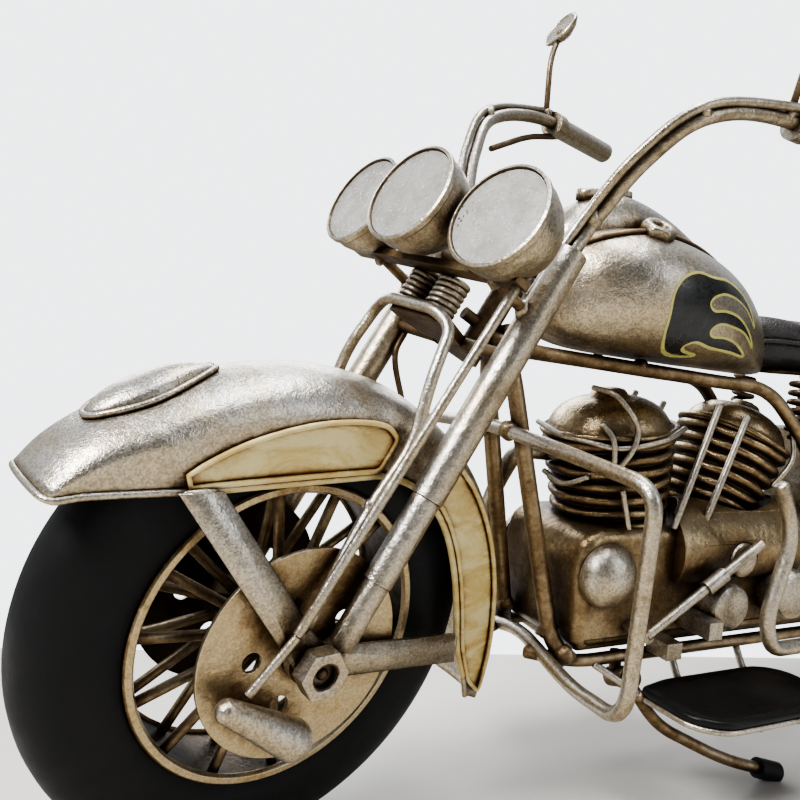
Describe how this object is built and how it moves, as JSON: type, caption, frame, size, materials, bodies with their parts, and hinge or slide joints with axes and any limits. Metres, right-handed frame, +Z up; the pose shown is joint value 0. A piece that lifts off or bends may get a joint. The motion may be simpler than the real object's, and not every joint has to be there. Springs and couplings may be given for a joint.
{
  "type": "model motorcycle",
  "caption": "Sheet-iron and wire display model of a cruiser motorcycle with turning wheels, a steering fork and a folding kickstand.",
  "frame": {"origin": "under the middle of the bounding box, on the table", "axes": "+X towards the front wheel, +Y to the rider's left, +Z up; the model leans left on its kickstand"},
  "size_m": [0.3972, 0.1225, 0.2263],
  "materials": {
    "antique_steel": "old-silver lacquer over rough sheet iron, brown wash in the corners",
    "bronze_sheet": "dark champagne-bronze lacquer, brown in the corners",
    "dark_iron": "dark brown-black iron",
    "rust_iron": "silver lacquer with a heavy rust-brown wash",
    "cream_enamel": "cream-yellow enamel, aged",
    "tyre_rubber": "smooth satin black rubber",
    "pad_rubber": "satin black",
    "seat_leather": "black imitation leather",
    "lamp_glitter": "silver-grey glitter paint",
    "red_paint": "dull red"
  },
  "bodies": {
    "frame": {"steering_head": "dark_iron", "top_rails": "rust_iron", "down_tubes": "rust_iron", "base_rails": "rust_iron", "guard_rods": "antique_steel", "crankcase": "bronze_sheet", "case_roof": "bronze_sheet", "case_fittings": "antique_steel", "barrels": "bronze_sheet", "barrel_heads": "bronze_sheet", "engine_wires": "antique_steel", "fuel_tank": "antique_steel", "tank_fittings": "antique_steel", "oil_tank": "antique_steel", "seat": "seat_leather", "seat_frame": "rust_iron", "rear_fender": "antique_steel", "rear_beads": "antique_steel", "rear_panels": "cream_enamel", "rear_tubes": "rust_iron", "tail_lamp": "red_paint", "exhausts": "antique_steel", "footboard_wires": "rust_iron", "footboard_pads": "pad_rubber", "rear_axle": "dark_iron", "rear_axle_nuts": "antique_steel", "kick_pin": "dark_iron"},
    "front_wheel": {"front_tyre": "tyre_rubber", "front_rim": "antique_steel", "front_spokes": "bronze_sheet", "front_hub": "dark_iron", "front_discs": "antique_steel"},
    "rear_wheel": {"rear_tyre": "tyre_rubber", "rear_rim": "antique_steel", "rear_spokes": "bronze_sheet", "rear_hub": "dark_iron", "rear_discs": "antique_steel"},
    "steering": {"steering_stem": "dark_iron", "fork_legs": "antique_steel", "fork_sleeves": "antique_steel", "brake_rod": "antique_steel", "springer_hoop": "rust_iron", "fork_springs": "rust_iron", "lamp_bar": "dark_iron", "lamp_bowls": "antique_steel", "lamp_faces": "lamp_glitter", "handlebars": "antique_steel", "grips": "antique_steel", "control_rods": "dark_iron", "mirrors": "antique_steel", "front_fender": "antique_steel", "front_beads": "antique_steel", "front_panels": "cream_enamel", "fender_dome": "antique_steel", "front_stays": "antique_steel", "front_axle": "dark_iron", "front_axle_nuts": "antique_steel", "caliper": "antique_steel"},
    "kickstand": {"kick_leg": "rust_iron", "kick_tip": "pad_rubber"}
  },
  "joints": [
    {"name": "steering_turn", "type": "hinge", "parent": "frame", "child": "steering", "pos_m": [0.08854, 0.00135, 0.12506], "axis": [-0.5, 0.1205, 0.8576], "range_deg": [-42, 14]},
    {"name": "front_wheel_spin", "type": "hinge", "parent": "steering", "child": "front_wheel", "pos_m": [0.14447, -0.0055, 0.05368], "axis": [-0.2095, 0.944, -0.2548], "continuous": true},
    {"name": "rear_wheel_spin", "type": "hinge", "parent": "frame", "child": "rear_wheel", "pos_m": [-0.1312, -0.00855, 0.05463], "axis": [0, 0.9903, -0.1392], "continuous": true},
    {"name": "kick_fold", "type": "hinge", "parent": "frame", "child": "kickstand", "pos_m": [0.0488, 0.00604, 0.03198], "axis": [0, 0.9781, 0.2079], "range_deg": [0, 26]}
  ]
}
